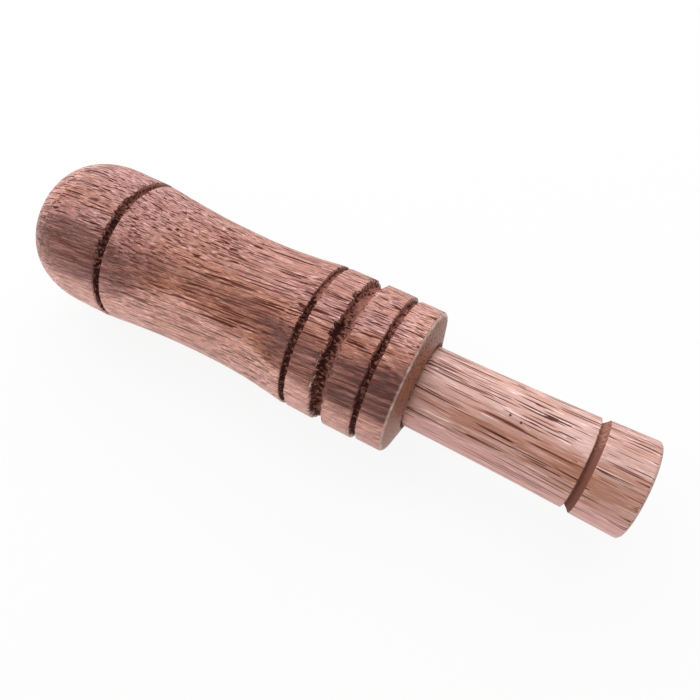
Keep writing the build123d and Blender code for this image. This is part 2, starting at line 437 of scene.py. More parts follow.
class Turning:
    """The outside of a turned CAD node as a grid: rows along the axis by points around it."""

    def __init__(self, node, shown_from, around, seed):
        self.outline = OUTLINES[node]
        self.grooves = self.outline.grooves(shown_from)
        self.seed = seed
        start, end = self.outline.start, self.outline.end
        self.dome_end = start + DOME_SPAN
        dome_rows = eased(start, self.dome_end, DOME_ROWS)[:-1]
        fine_spans = [(low, high) for low, high, _ in self.grooves] + [(end - END_SPAN, end)]
        rows = np.concatenate([dome_rows, row_places(self.dome_end, end, fine_spans)])
        angle = np.linspace(0, 2 * math.pi, around, endpoint=False)
        self.along, self.turn = np.meshgrid(rows, angle, indexing="ij")
        self.skin = self.at_radius(self.along, self.outline.outside(self.along))
        self.source = self.along.copy()
        self.radius = None
        self.marks = {}

    def at_radius(self, along, radius):
        turn = self.turn[:1] + 0 * along
        return np.stack([along, radius * np.cos(turn), radius * np.sin(turn)], axis=-1)

    def over_skin(self, field):
        return lumps(self.skin, field, self.seed)

    def mark(self, name, values):
        self.marks[name] = np.maximum(self.marks.get(name, 0 * self.along), values)

    def tear(self, number, style):
        """Moves a groove's walls along the axis by ragged amounts, so that its edges look torn."""
        low, high, _ = self.grooves[number]
        middle = (low + high) / 2
        rim = self.at_radius(np.full_like(self.along[:1], low), self.outline.outside(low))
        seed = self.seed + SEEDS_PER_GROOVE * number
        runs = lumps(rim, RUNS, seed)
        bites = lumps(rim, BITES, seed) + lumps(rim, SMALL_BITES, seed)
        bite = smooth(bites + RUNS_IN_BITES * runs, *BITE_RISE)
        bite = bite * np.clip(BITE_LEVEL + BITE_SWING * bites + lumps(rim, NIBBLES, seed), 0, 1)
        ragged = np.clip(lumps(rim, RAGS, seed) + RUNS_IN_RAGS * runs + RAG_LEVEL, 0, 1)
        worst = LEAST_TEAR + (1 - LEAST_TEAR) * np.cos(turn_at(TORN_ANGLE) - self.turn[:1]) ** 2
        bite = bite * worst
        left = low + style.left_inset - style.left_tear * bite
        right = high - style.right_inset + style.right_tear * ragged
        foot = low + style.left_inset + WALL
        moved = [low - GROOVE_SIDE, left, foot, middle, right, high + GROOVE_SIDE]
        places = [low - GROOVE_SIDE, low, low + WALL, middle, high, high + GROOVE_SIDE]
        for here, there, new, ahead in zip(places, places[1:], moved, moved[1:]):
            between = (self.along >= new) & (self.along < ahead)
            share = (self.along - new) / (ahead - new)
            self.source = np.where(between, here + share * (there - here), self.source)
        beside = smooth(self.along, left - style.torn, left) * (self.along < middle)
        self.mark("torn", beside * worst)
        fade_start, fade_end = LIP_AFTER
        lip = smooth(self.along, left - LIP_BEFORE, left)
        lip = lip * (1 - smooth(self.along, left + fade_start, left + fade_end))
        # Pale splinters along the left edge, partly painted glints
        self.mark("splinter_and_glint", style.splinters_and_glints * lip * smooth(runs, *LIP_RUNS))

    def cut(self, number, style):
        """Roughens and burns the inside of a groove."""
        low, high, depth = self.grooves[number]
        across = np.interp(self.along, [low, high], self.outline.outside([low, high]))
        rim = np.where((self.along > low) & (self.along < high), across, self.outline.outside(self.along))
        near = (self.along > low - GROOVE_SIDE) & (self.along < high + GROOVE_SIDE)
        sunk = np.where(near, (rim - self.radius) / depth, 0)
        share = np.clip((self.along - low) / (high - low), 0, 1)
        torn = self.over_skin(RIPS) + self.over_skin(SMALL_RIPS)
        ripped = smooth(sunk, *RIPPED_DEPTH) * (1 - smooth(share, *CLEAN_SIDE))
        self.radius = self.radius + style.rough * ripped * (RIP_SWING * torn - RIP_SINK)
        scorched = sunk + SCORCH_WANDER * style.rough * self.over_skin(SCORCH) * (sunk > SCORCH_FROM)
        self.mark("burn", smooth(scorched, *style.burn))
        # Less soot round that angle, towards the top
        less_black = smooth(np.cos(self.turn - turn_at(LESS_BLACK_ANGLE)), *LESS_BLACK_SPREAD)
        soot_left, soot_right = style.soot
        soot = soot_left + (soot_right - soot_left) * share - LESS_BLACK_SHARE * less_black
        self.mark("soot", np.where(near, np.maximum(soot, 0), 0))

    def wear_rim(self, depth):
        """Chips the rim of the end face, marks it pale as worn wood and a painted highlight, and marks the
        face.
        """
        slope = np.gradient(self.outline.outer, READ_STEP)
        steep = np.interp(self.along, self.outline.xs, slope) < -STEEP
        on_face = steep & (self.along > self.outline.end - END_SPAN)
        rim = self.along[on_face].min() if on_face.any() else self.outline.end
        at_rim = smooth(self.along, rim - RIM_BEFORE, rim) * (1 - smooth(self.along, rim, rim + RIM_AFTER))
        chips = np.clip(self.over_skin(CHIPS) + self.over_skin(SMALL_CHIPS) + CHIP_LEVEL, 0, 1)
        self.radius = self.radius - depth * chips * at_rim
        # Pale rim: chipped, worn wood and a painted highlight along the edge
        self.mark("wear_and_highlight", smooth(at_rim, *WORN_AND_LIT_RIM) * (LEAST_WEAR_AND_HIGHLIGHT + CHIP_WEAR_AND_HIGHLIGHT * chips))
        self.mark("end_face", 1.0 * on_face)

    def shape(self, styles, end_wear):
        for number, style in enumerate(styles):
            self.tear(number, style)
        self.radius = self.outline.outside(self.source)
        for number, style in enumerate(styles):
            self.cut(number, style)
        self.wear_rim(end_wear)
        # The waves only cut in, so that the skin stays within the CAD
        self.radius = self.radius - UNEVEN * (WAVES.weight + self.over_skin(WAVES))

    def figure(self, stripes):
        """Marks the stripes, with wandering edges: painted shade and darker heartwood, painted sheen, warmer
        and calmer wood.
        """
        up_from_front = 180 - np.degrees(self.turn)
        wander = self.over_skin(WANDER) + self.over_skin(SMALL_WANDER)
        for name, bands in stripes.items():
            for band in bands:
                self.mark(name, band.at(self.along - barrel_low.x, up_from_front + wander))

    def inner_rows(self):
        """(place, radius) down the end face and back through the bore to the other end."""
        start, end = self.outline.start, self.outline.end
        rim, hole = self.outline.outside(end), self.outline.inside(end)
        face_rows = max(LEAST_FACE_ROWS, round((rim - hole) / FACE_STEP))
        face = [(end, radius) for radius in np.linspace(rim, hole, face_rows)[1:-1]]
        bore_start = start + BORE_EDGE
        steep = np.abs(np.diff(self.outline.inner)) > READ_STEP
        corners = self.outline.xs[1:-1][steep[1:] != steep[:-1]]
        corners = corners[corners > bore_start]
        run = np.arange(bore_start, end, BORE_STEP)
        deep = np.unique(np.concatenate([run, corners, [end - READ_STEP]]))[::-1]
        mouth = eased(start, bore_start, BORE_EDGE_ROWS)[-2::-1]
        bore = [(x, self.outline.inside(x)) for x in np.concatenate([deep, mouth])]
        return face, bore

    def flattened(self):
        """The radius with the dome's fall eased, so that strokes of grain run out over it."""
        least = self.outline.outer.max() * DOME_GRAIN
        fallen = least - DOME_FALL * (least - self.radius)
        return np.where((self.radius < least) & (self.along < self.dome_end), fallen, self.radius)

    def build(self, name, fibre, material):
        face, bore = self.inner_rows()
        xs, radii = np.array(face + bore).T
        around = self.turn.shape[1]
        inner = self.at_radius(np.tile(xs[:, None], around), np.tile(radii[:, None], around))
        rings = np.concatenate([self.at_radius(self.along, self.radius), inner])
        rings[..., 2] += AXIS_HEIGHT
        mesh = grid_mesh(name, rings)
        layer = mesh.attributes.new("grain", "FLOAT_VECTOR", "POINT")
        laid = np.concatenate([self.at_radius(self.along, self.flattened()), inner])
        layer.data.foreach_set("vector", fibre.straighten(laid).ravel().astype(np.float32))
        blank = np.zeros(inner.shape[:2])
        on_face = blank.copy()
        on_face[:len(face)] = 1
        inner_marks = {"end_face": on_face}
        for mark in MARKS:
            values = [self.marks.get(mark, 0 * self.along), inner_marks.get(mark, blank)]
            layer = mesh.attributes.new(mark, "FLOAT", "POINT")
            layer.data.foreach_set("value", np.concatenate(values).ravel().astype(np.float32))
        return add_object(name, mesh, material)


# The levels between which most of a noise's values lie, and a narrower choice of them
NOISE_RANGE = (0.3, 0.7)
NOISE_MIDDLE = (0.35, 0.65)

# The sockets of a Mix node that are for colours: the share and the two colours, and what they make
MIX_INPUTS = (0, 6, 7)
MIX_OUTPUT = 2


class Shader:
    """The nodes of a material or the world, with short calls to add and join them."""

    def __init__(self, owner):
        owner.use_nodes = True
        self.owner = owner
        self.tree = owner.node_tree
        self.surface = self.tree.nodes.get("Principled BSDF")

    def put(self, socket, value):
        if isinstance(value, bpy.types.NodeSocket):
            self.tree.links.new(value, socket)
        elif socket.type == "RGBA" and len(value) == 3:
            socket.default_value = (*value, 1)
        else:
            socket.default_value = value

    def add(self, kind, inputs, **settings):
        made = self.tree.nodes.new("ShaderNode" + kind)
        for key, value in settings.items():
            setattr(made, key, value)
        for key, value in inputs.items():
            self.put(made.inputs[key], value)
        return made

    def finish(self, **inputs):
        for key, value in inputs.items():
            self.put(self.surface.inputs[key.replace("_", " ")], value)
        return self.owner

    def place(self):
        return self.add("TexCoord", {}).outputs["Object"]

    def stretch(self, vector, scale, place=(0, 0, 0)):
        mapping = self.add("Mapping", {"Vector": vector, "Scale": scale, "Location": place})
        return mapping.outputs["Vector"]

    def noise(self, vector, scale=1.0, detail=2, roughness=0.5):
        inputs = {"Vector": vector, "Scale": scale, "Detail": detail, "Roughness": roughness}
        return self.add("TexNoise", inputs).outputs[0]

    def cells(self, vector, scale=1.0):
        """How far a place is from the middle of its cell, and a chance value for the cell."""
        made = self.add("TexVoronoi", {"Vector": vector, "Scale": scale})
        chance = self.add("SeparateColor", {"Color": made.outputs["Color"]}).outputs["Red"]
        return made.outputs["Distance"], chance

    def math(self, operation, a, b=0.0):
        return self.add("Math", {0: a, 1: b}, operation=operation).outputs[0]

    def times(self, a, b):
        return self.math("MULTIPLY", a, b)

    def larger(self, a, b):
        return self.math("MAXIMUM", a, b)

    def ramp(self, value, low, high, to_low=0.0, to_high=1.0):
        inputs = {"Value": value, "From Min": low, "From Max": high, "To Min": to_low, "To Max": to_high}
        return self.add("MapRange", inputs, interpolation_type="SMOOTHSTEP").outputs["Result"]

    def mix(self, share, a, b, blend="MIX"):
        made = self.add("Mix", {}, data_type="RGBA", blend_type=blend)
        for socket, value in zip(MIX_INPUTS, (share, a, b)):
            self.put(made.inputs[socket], value)
        return made.outputs[MIX_OUTPUT]

    def tint(self, share, colour, by):
        return self.mix(share, colour, by, "MULTIPLY")

    def attribute(self, name):
        return self.add("Attribute", {}, attribute_name=name).outputs["Fac"]

    def bump(self, height, strength, distance):
        inputs = {"Height": height, "Strength": strength, "Distance": distance}
        return self.add("Bump", inputs).outputs["Normal"]


def along_grain(long, thick):
    """The scale of a texture whose lumps have that size along the grain and across it."""
    return (1 / long, 1 / thick, 1 / thick)


class Stroke:
    """Strokes along the grain: the size of the lumps of noise they are cut from, and the level they are
    cut at. A higher level leaves fewer and thinner strokes."""

    def __init__(self, long, thick, level, shift):
        self.scale = along_grain(long, thick)
        self.level = level
        self.shift = (shift, shift, shift)


class Dash:
    """Short pores along the grain, one to a cell: the size of the cells, and the share of a cell that the
    largest pore fills."""

    def __init__(self, long, thick, share, shift):
        self.scale = along_grain(long, thick)
        self.share = share
        self.shift = (shift, shift, shift)


@dataclass
class WoodLook:
    """The colours and grain of one piece's wood. Fibre is the scale of the fibres and depth how much they
    shade the colour, stain and contrast say how strong stains and streaks are, shade and heart quiet is how
    far the band of painted shade and darker heartwood hides its strokes, mottle how strongly char and
    scorch alternate in the grooves, and knots are places in the straightened grain."""

    fibre: tuple
    depth: float
    pore: Stroke
    fine_pore: Dash
    stain: float
    fleck_and_glint: Stroke
    streak: Stroke
    contrast: float
    shade_and_heart_quiet: float
    mottle: float
    knots: list
    colours: dict


# Wood: what its marks multiply the colour under them by
DARK_TINT = (0.50, 0.36, 0.33)
# Pale streaks of grain, and the painted highlights beside pores and on flecks, are multiplied by this
PALE_TINT = (1.42, 1.68, 1.84)
STAIN_TINT = (0.80, 0.60, 0.51)

# Wood: how far the grain drifts sideways, and the scales of its broader figure
DRIFT_SCALE = 40.0
DRIFT_REACH = 0.9 * MM
BAND_SCALE = (9, 95, 95)
GROWTH_SCALE = (16, 330, 330)
PLY_SCALE = (70, 1000, 1000)

# Wood: between which levels each part of the figure comes in, and how strongly
BAND_LEVELS = (0.36, 0.64)
BAND_SHARE = 0.5
WARM_SHARE = 0.6
GROWTH_LEVELS = (0.48, 0.70)
GROWTH_SHARE = 0.5
PLY_LEVELS = (0.38, 0.62)
# How strongly the band of painted shade and darker heartwood shows, ply by ply
SHADE_AND_HEART_PLIES = (0.58, 1.30)
FIBRE_LEVELS = (0.28, 0.72)

# Wood: the same for its strokes and pores, by how far a place is inside one
CALM_QUIET = 0.8
DARK_STREAK = (-0.02, -0.14)
PALE_STREAK = (0.04, 0.16)
# Pale flecks along the grain, partly painted glints
FLECK_AND_GLINT_EDGE = (-0.015, 0.02)
FLECK_AND_GLINT_SHARE = 0.85
PORE_EDGE = (-0.012, 0.014)
PORE_SHARE = 0.95
# A painted highlight: a pale rim beside each pore
PORE_HIGHLIGHT_EDGE = (-0.10, -0.03)
PORE_HIGHLIGHT_SHARE = 0.4
LEAST_DASH = 0.4
DASH_EDGE = (-0.02, 0.03)
DASH_SHARE = 0.85
STAIN_EDGE = (-0.20, 0.0)
KNOT_EDGE = (0.42 * MM, 0.15 * MM)

# Wood cut across: the middle of the tree, the growth rings round it, and the open pores
PITH = (0, 34 * MM, -46 * MM)
RING_WIDTH = 2.1 * MM
RING_LEVELS = (0.2, 1.0)
RING_SHARES = (0.0, 0.5)
END_SCALE = 1300.0
END_SHARE = 0.92
HOLE_SHARE = 0.6

# Wood at a groove: pits and pale splinters with painted glints, the char in it, and how its edges turn burnt,
# and worn with a painted highlight
PIT_SCALE = 1500.0
PIT_LIFT = 0.16
PIT_LEVELS = (0.64, 0.70)
PIT_SPREAD = (0.0, 0.25)
SPLINTER_AND_GLINT_SCALE = 1300.0
SPLINTER_AND_GLINT_LIFT = 0.14
SPLINTER_AND_GLINT_LEVELS = (0.68, 0.73)
SPLINTER_AND_GLINT_SPREAD = (0.1, 0.5)
SPECK_SCALE = (800, 1500, 1500)
CHAR_LEVELS = (0.2, 0.8)
BURN_LEVELS = (0.1, 0.7)
# How pale the rim is painted: worn wood and a painted highlight
WEAR_AND_HIGHLIGHT_SHARE = 0.85

# Wood: its oiled finish and its relief
WOOD_ROUGHNESS = (0.36, 0.46)
MATT = 0.95
WOOD_SPECULAR = 0.22
FIBRE_HEIGHT = 0.5
WOOD_BUMP = 0.6
WOOD_RELIEF = 0.07 * MM


class Wood(Shader):
    """The shader of one turned piece, built up from its ground colour to its burnt grooves."""

    def __init__(self, name, look):
        super().__init__(bpy.data.materials.new(name))
        self.look = look
        self.skin = self.place()
        self.straight = self.add("Attribute", {}, attribute_name="grain").outputs["Vector"]
        self.grain = self.drifting()
        # The band of painted shade and darker heartwood hides strokes, and so does calm wood
        hushed = self.times(self.attribute("shade_and_heart"), look.shade_and_heart_quiet)
        hushed = self.larger(hushed, self.times(self.attribute("calm"), CALM_QUIET))
        self.loud = self.math("SUBTRACT", 1.0, hushed)
        self.fibre = self.noise(self.stretch(self.grain, look.fibre), detail=3, roughness=0.65)
        self.pore_depth = self.in_stroke(look.pore)
        self.pores = self.shown(self.pore_depth, PORE_EDGE)
        self.dash_depth = self.in_dash(look.fine_pore)
        self.dashes = self.shown(self.dash_depth, DASH_EDGE)

    def drifting(self):
        """The straightened grain with a slow drift, so that no stroke is quite straight."""
        inputs = {"Vector": self.straight, "Scale": DRIFT_SCALE, "Detail": 1.0}
        drift = self.add("TexNoise", inputs).outputs["Color"]
        drift = self.add("VectorMath", {0: drift, 1: (0.5, 0.5, 0.5)}, operation="SUBTRACT").outputs[0]
        drift = self.add("VectorMath", {0: drift, "Scale": DRIFT_REACH}, operation="SCALE").outputs[0]
        return self.add("VectorMath", {0: self.straight, 1: drift}, operation="ADD").outputs[0]

    def in_stroke(self, stroke):
        """How far a place is inside a stroke of that kind: above 0 in one, below 0 outside."""
        stretched = self.stretch(self.grain, stroke.scale, place=stroke.shift)
        return self.math("SUBTRACT", self.noise(stretched, detail=1, roughness=0.45), stroke.level)

    def in_dash(self, dash):
        """How far a place is inside a pore of that kind: above 0 in one, below 0 outside."""
        away, chance = self.cells(self.stretch(self.grain, dash.scale, place=dash.shift))
        reach = self.ramp(chance, 0.0, 1.0, LEAST_DASH * dash.share, dash.share)
        return self.math("SUBTRACT", reach, away)

    def shown(self, depth, edge):
        """How much of a mark shows, from none to all between two depths, and less where the wood is calm."""
        return self.times(self.ramp(depth, *edge), self.loud)

    def ground(self):
        """The colour under all strokes: mauve and warm bands, growth rings, a painted sheen, and a band of
        painted shade with darker heartwood.
        """
        colours = self.look.colours
        bands = self.noise(self.stretch(self.grain, BAND_SCALE), detail=3, roughness=0.55)
        bands = self.times(self.ramp(bands, *BAND_LEVELS), BAND_SHARE)
        warm = self.math("ADD", bands, self.times(self.attribute("warm"), WARM_SHARE))
        colour = self.mix(warm, colours["mauve"], colours["warm"])
        growth = self.noise(self.stretch(self.grain, GROWTH_SCALE), detail=3, roughness=0.6)
        growth = self.times(self.ramp(growth, *GROWTH_LEVELS), GROWTH_SHARE)
        colour = self.mix(growth, colour, colours["growth"])
        # Painted sheen: paler colour where reflected light from the floor and surroundings falls
        colour = self.mix(self.attribute("sap"), colour, colours["sap"])
        plies = self.noise(self.stretch(self.grain, PLY_SCALE), detail=2, roughness=0.6)
        # Painted shade, broken into plies: darker where the wood lies in shade, and darker heartwood round
        # the back
        shade_and_heart = self.times(self.attribute("shade_and_heart"), self.ramp(plies, *PLY_LEVELS, *SHADE_AND_HEART_PLIES))
        return self.mix(shade_and_heart, colour, colours["shade_and_heart"])

    def stroked(self, colour):
        """The colour with the strokes of the grain on it: streaks, fibres, pale flecks with painted glints,
        painted highlights beside the pores, pores and knots.
        """
        look = self.look
        streak = self.in_stroke(look.streak)
        for edge, tint in ((DARK_STREAK, DARK_TINT), (PALE_STREAK, PALE_TINT)):
            colour = self.tint(self.times(self.shown(streak, edge), look.contrast), colour, tint)
        shade = self.ramp(self.fibre, *FIBRE_LEVELS, 1 - look.depth, 1 + look.depth)
        shade = self.add("CombineColor", {0: shade, 1: shade, 2: shade}).outputs[0]
        colour = self.tint(1.0, colour, shade)
        # Painted highlight: a pale rim beside each pore, as if a raised edge caught the light
        pore_highlight = self.shown(self.pore_depth, PORE_HIGHLIGHT_EDGE)
        colour = self.tint(self.times(pore_highlight, PORE_HIGHLIGHT_SHARE), colour, PALE_TINT)
        # Pale flecks along the grain, partly painted glints
        flecks_and_glints = self.shown(self.in_stroke(look.fleck_and_glint), FLECK_AND_GLINT_EDGE)
        colour = self.tint(self.times(flecks_and_glints, FLECK_AND_GLINT_SHARE), colour, PALE_TINT)
        stain = self.shown(self.dash_depth, STAIN_EDGE)
        colour = self.tint(self.times(stain, look.stain), colour, STAIN_TINT)
        dark = look.colours["pore"]
        colour = self.mix(self.times(self.dashes, DASH_SHARE), colour, dark)
        colour = self.mix(self.times(self.pores, PORE_SHARE), colour, dark)
        for knot in look.knots:
            away = self.add("VectorMath", {0: self.straight, 1: knot}, operation="DISTANCE")
            colour = self.mix(self.ramp(away.outputs["Value"], *KNOT_EDGE), colour, dark)
        return colour

    def end_grain(self):
        """The colour of wood cut across: growth rings round the pith, and the pores as dots."""
        colours = self.look.colours
        patches = self.noise(self.skin, END_SCALE, detail=3, roughness=0.6)
        colour = self.mix(self.ramp(patches, *NOISE_MIDDLE), colours["end"], colours["end_dark"])
        from_pith = self.add("VectorMath", {0: self.straight, 1: PITH}, operation="SUBTRACT").outputs[0]
        across = self.add("VectorMath", {0: from_pith, 1: (0, 1, 1)}, operation="MULTIPLY").outputs[0]
        away = self.add("VectorMath", {0: across}, operation="LENGTH").outputs["Value"]
        ring = self.math("SINE", self.times(away, 2 * math.pi / RING_WIDTH))
        colour = self.mix(self.ramp(ring, *RING_LEVELS, *RING_SHARES), colour, colours["end_dark"])
        holes = self.times(self.larger(self.pores, self.dashes), HOLE_SHARE)
        return self.mix(holes, colour, colours["pit"])

    def scattered(self, mark, scale, lift, levels, spread):
        """Specks cut from noise that a mark of the mesh lifts, where there is enough of that mark."""
        there = self.attribute(mark)
        specks = self.noise(self.skin, scale, detail=2, roughness=0.6)
        lifted = self.math("ADD", specks, self.times(there, lift))
        return self.times(self.ramp(lifted, *levels), self.ramp(there, *spread))

    def charred(self):
        """The colour inside a burnt groove, where scorched and charred spots alternate."""
        colours = self.look.colours
        specks = self.noise(self.stretch(self.skin, SPECK_SCALE), detail=3, roughness=0.65)
        swing = self.times(self.math("SUBTRACT", specks, 0.5), self.look.mottle)
        black = self.math("ADD", self.attribute("soot"), swing)
        return self.mix(self.ramp(black, *CHAR_LEVELS), colours["scorch"], colours["char"])

    def worked(self, colour):
        """The colour with what tools and use left: end faces, pits, burnt grooves, and pale edges that are
        partly worn and torn wood and partly painted highlights and glints.
        """
        colours = self.look.colours
        colour = self.mix(self.times(self.attribute("end_face"), END_SHARE), colour, self.end_grain())
        pits = self.scattered("torn", PIT_SCALE, PIT_LIFT, PIT_LEVELS, PIT_SPREAD)
        colour = self.mix(pits, colour, colours["pit"])
        colour = self.mix(self.ramp(self.attribute("burn"), *BURN_LEVELS), colour, self.charred())
        # Pale splinters beside the left edge, partly painted glints
        splinters_and_glints = self.scattered(
            "splinter_and_glint", SPLINTER_AND_GLINT_SCALE, SPLINTER_AND_GLINT_LIFT, SPLINTER_AND_GLINT_LEVELS, SPLINTER_AND_GLINT_SPREAD
        )
        # The pale rim and the pale splinters are partly worn, torn wood and partly painted highlights and
        # glints
        pale_edge = self.larger(self.times(self.attribute("wear_and_highlight"), WEAR_AND_HIGHLIGHT_SHARE), splinters_and_glints)
        return self.mix(pale_edge, colour, colours["raw"])

    def roughness(self):
        fibres = self.ramp(self.fibre, *NOISE_RANGE, *WOOD_ROUGHNESS)
        rough = self.larger(fibres, self.times(self.pores, MATT))
        return self.larger(rough, self.times(self.attribute("burn"), MATT))

    def relief(self):
        height = self.math("SUBTRACT", self.times(self.fibre, FIBRE_HEIGHT), self.pores)
        return self.bump(height, WOOD_BUMP, WOOD_RELIEF)


def wood_material(name, look):
    """Turned, oiled wood: fibres along the piece, dark pores, pale flecks, burnt grooves."""
    wood = Wood(name, look)
    return wood.finish(
        Base_Color=wood.worked(wood.stroked(wood.ground())),
        Roughness=wood.roughness(),
        Normal=wood.relief(),
        Specular_IOR_Level=WOOD_SPECULAR,
    )


def on_insert(from_mouth, up_from_front):
    """A place on the insert's skin in its straightened grain."""
    x = barrel_low.x + from_mouth
    turn = turn_at(up_from_front)
    radius = OUTLINES["insert"].outside(x)
    place = np.array([x, radius * math.cos(turn), radius * math.sin(turn)])
    return tuple(INSERT_FIBRE.straighten(place))


BARREL_LOOK = WoodLook(
    fibre=along_grain(1.5 * MM, 0.25 * MM),
    depth=0.38,
    pore=Stroke(18 * MM, 0.42 * MM, level=0.612, shift=0),
    fine_pore=Dash(8.5 * MM, 0.40 * MM, share=0.44, shift=40),
    stain=0.3,
    fleck_and_glint=Stroke(4 * MM, 0.42 * MM, level=0.600, shift=80),
    streak=Stroke(9 * MM, 0.36 * MM, level=0.5, shift=120),
    contrast=0.42,
    shade_and_heart_quiet=0.45,
    mottle=4.2,
    knots=[],
    colours={
        "mauve": (0.485, 0.227, 0.196),
        "warm": (0.49, 0.188, 0.106),
        "growth": (0.27, 0.080, 0.050),
        # The colour of the painted shade and of darker heartwood
        "shade_and_heart": (0.122, 0.046, 0.040),
        # The colour of the painted sheen
        "sap": (0.80, 0.416, 0.338),
        "pore": (0.085, 0.010, 0.004),
        "end": (0.40, 0.165, 0.100),
        "end_dark": (0.27, 0.100, 0.065),
        # Pale raw wood, also used for the painted highlight on the rim and painted glints on splinters
        "raw": (0.90, 0.70, 0.63),
        "char": (0.050, 0.010, 0.007),
        "pit": (0.100, 0.027, 0.018),
        "scorch": (0.36, 0.150, 0.112),
    },
)
INSERT_LOOK = WoodLook(
    fibre=along_grain(3.2 * MM, 0.25 * MM),
    depth=0.12,
    pore=Stroke(22 * MM, 0.40 * MM, level=0.655, shift=7),
    fine_pore=Dash(30 * MM, 0.54 * MM, share=0.42, shift=40),
    stain=0.7,
    fleck_and_glint=Stroke(6 * MM, 0.36 * MM, level=0.64, shift=80),
    streak=Stroke(9 * MM, 0.40 * MM, level=0.5, shift=120),
    contrast=0.1,
    shade_and_heart_quiet=0.0,
    mottle=2.2,
    knots=[on_insert(120.1 * MM, 79), on_insert(122.7 * MM, 76)],
    colours={
        "mauve": (0.84, 0.562, 0.514),
        "warm": (0.76, 0.430, 0.350),
        "growth": (0.56, 0.265, 0.190),
        # The colour of the painted shade and of darker heartwood
        "shade_and_heart": (0.46, 0.195, 0.125),
        # The colour of the painted sheen
        "sap": (0.79, 0.420, 0.375),
        "pore": (0.075, 0.008, 0.003),
        "end": (0.46, 0.23, 0.16),
        "end_dark": (0.34, 0.16, 0.11),
        # Pale raw wood, also used for the painted highlight on the rim and painted glints on splinters
        "raw": (0.75, 0.50, 0.42),
        "char": (0.25, 0.097, 0.070),
        "pit": (0.16, 0.055, 0.040),
        "scorch": (0.45, 0.225, 0.178),
    },
)

# Moulded and rubber surfaces: how far their roughness varies, and their relief
ROUGHNESS_SWING = 0.06
SPECKLE_RELIEF = 0.05 * MM

# The reeds' film: its marks from being drawn, its haze, and its finish
DRAWN_SCALE = (60, 5200, 5200)
DRAWN_LEVELS = (0.55, 0.75)
HAZE_SCALE = 260.0
FILM_DULL = (0.60, 0.60, 0.55)
FILM_MILKY = (0.70, 0.70, 0.66)
FILM_MARK = (0.80, 0.80, 0.77)
FILM_ROUGHNESS = (0.24, 0.42)
FILM_BUMP = 0.25
FILM_RELIEF = 0.02 * MM

# The wedge's cork: its grains, the pits between them, and its finish
GRAIN_SCALE = 1100.0
GRAIN_LEVELS = (0.2, 0.8)
GRAIN_HEIGHT = (0.0, 0.6)
CORK_PIT_SCALE = 1900.0
CORK_PIT_LEVELS = (0.56, 0.68)
CORK_DARK = (0.36, 0.19, 0.09)
CORK_PALE = (0.58, 0.36, 0.20)
CORK_PIT = (0.12, 0.05, 0.025)
CORK_ROUGHNESS = 0.85
CORK_BUMP = 0.6
CORK_RELIEF = 0.12 * MM


def plain_material(name, colour, shade, grain, roughness, bump):
    """A moulded or rubber surface: fine speckle in its colour, roughness and relief."""
    s = Shader(bpy.data.materials.new(name))
    speckle = s.noise(s.place(), 1 / grain, detail=3, roughness=0.6)
    smoothest, roughest = roughness - ROUGHNESS_SWING, roughness + ROUGHNESS_SWING
    return s.finish(
        Base_Color=s.mix(s.ramp(speckle, *NOISE_MIDDLE), colour, shade),
        Roughness=s.ramp(speckle, *NOISE_RANGE, smoothest, roughest),
        Normal=s.bump(speckle, bump, SPECKLE_RELIEF),
    )


def film_material():
    """Milky plastic film with fine lengthwise marks from being drawn and trimmed."""
    s = Shader(bpy.data.materials.new("reed_film"))
    at = s.place()
    marks = s.noise(s.stretch(at, DRAWN_SCALE), detail=3, roughness=0.6)
    haze = s.noise(at, HAZE_SCALE, detail=2, roughness=0.5)
    colour = s.mix(s.ramp(haze, *NOISE_MIDDLE), FILM_DULL, FILM_MILKY)
    return s.finish(
        Base_Color=s.mix(s.ramp(marks, *DRAWN_LEVELS), colour, FILM_MARK),
        Roughness=s.ramp(marks, *NOISE_RANGE, *FILM_ROUGHNESS),
        Normal=s.bump(marks, FILM_BUMP, FILM_RELIEF),
    )


def cork_material():
    """Pressed cork: grains of two browns with dark pits between them."""
    s = Shader(bpy.data.materials.new("cork"))
    at = s.place()
    grains, chance = s.cells(at, GRAIN_SCALE)
    colour = s.mix(s.ramp(chance, *GRAIN_LEVELS), CORK_DARK, CORK_PALE)
    pits = s.ramp(s.noise(at, CORK_PIT_SCALE, detail=3, roughness=0.6), *CORK_PIT_LEVELS)
    height = s.math("SUBTRACT", s.ramp(grains, *GRAIN_HEIGHT), pits)
    return s.finish(
        Base_Color=s.mix(pits, colour, CORK_PIT),
        Roughness=CORK_ROUGHNESS,
        Normal=s.bump(height, CORK_BUMP, CORK_RELIEF),
    )


def half_width(node, places):
    """Half the width of a flat CAD node at each place along the axis, read with rays from its side."""
    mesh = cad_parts[node].data
    tree = BVHTree.FromPolygons([v.co for v in mesh.vertices], [p.vertices for p in mesh.polygons])
    low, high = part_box(node)
    height = (low.z + high.z) / 2
    hits = [tree.ray_cast(Vector((x, 2 * high.y, height)), Vector((0, -1, 0)))[0] for x in places]
    return np.array([hit.y for hit in hits])


def strip_mesh(name, sections):
    """A closed mesh from cross-sections along a strip, with a flat cap at each end."""
    count, around = sections.shape[:2]
    index = np.arange(count * around).reshape(count, around)
    onward = np.roll(index, -1, axis=1)
    sides = np.stack([index[:-1], index[1:], onward[1:], onward[:-1]], axis=-1).reshape(-1, 4).tolist()
    caps = [index[0].tolist(), index[-1][::-1].tolist()]
    mesh = bpy.data.meshes.new(name)
    mesh.from_pydata(sections.reshape(-1, 3).tolist(), [], sides + caps)
    mesh.update()
    return mesh


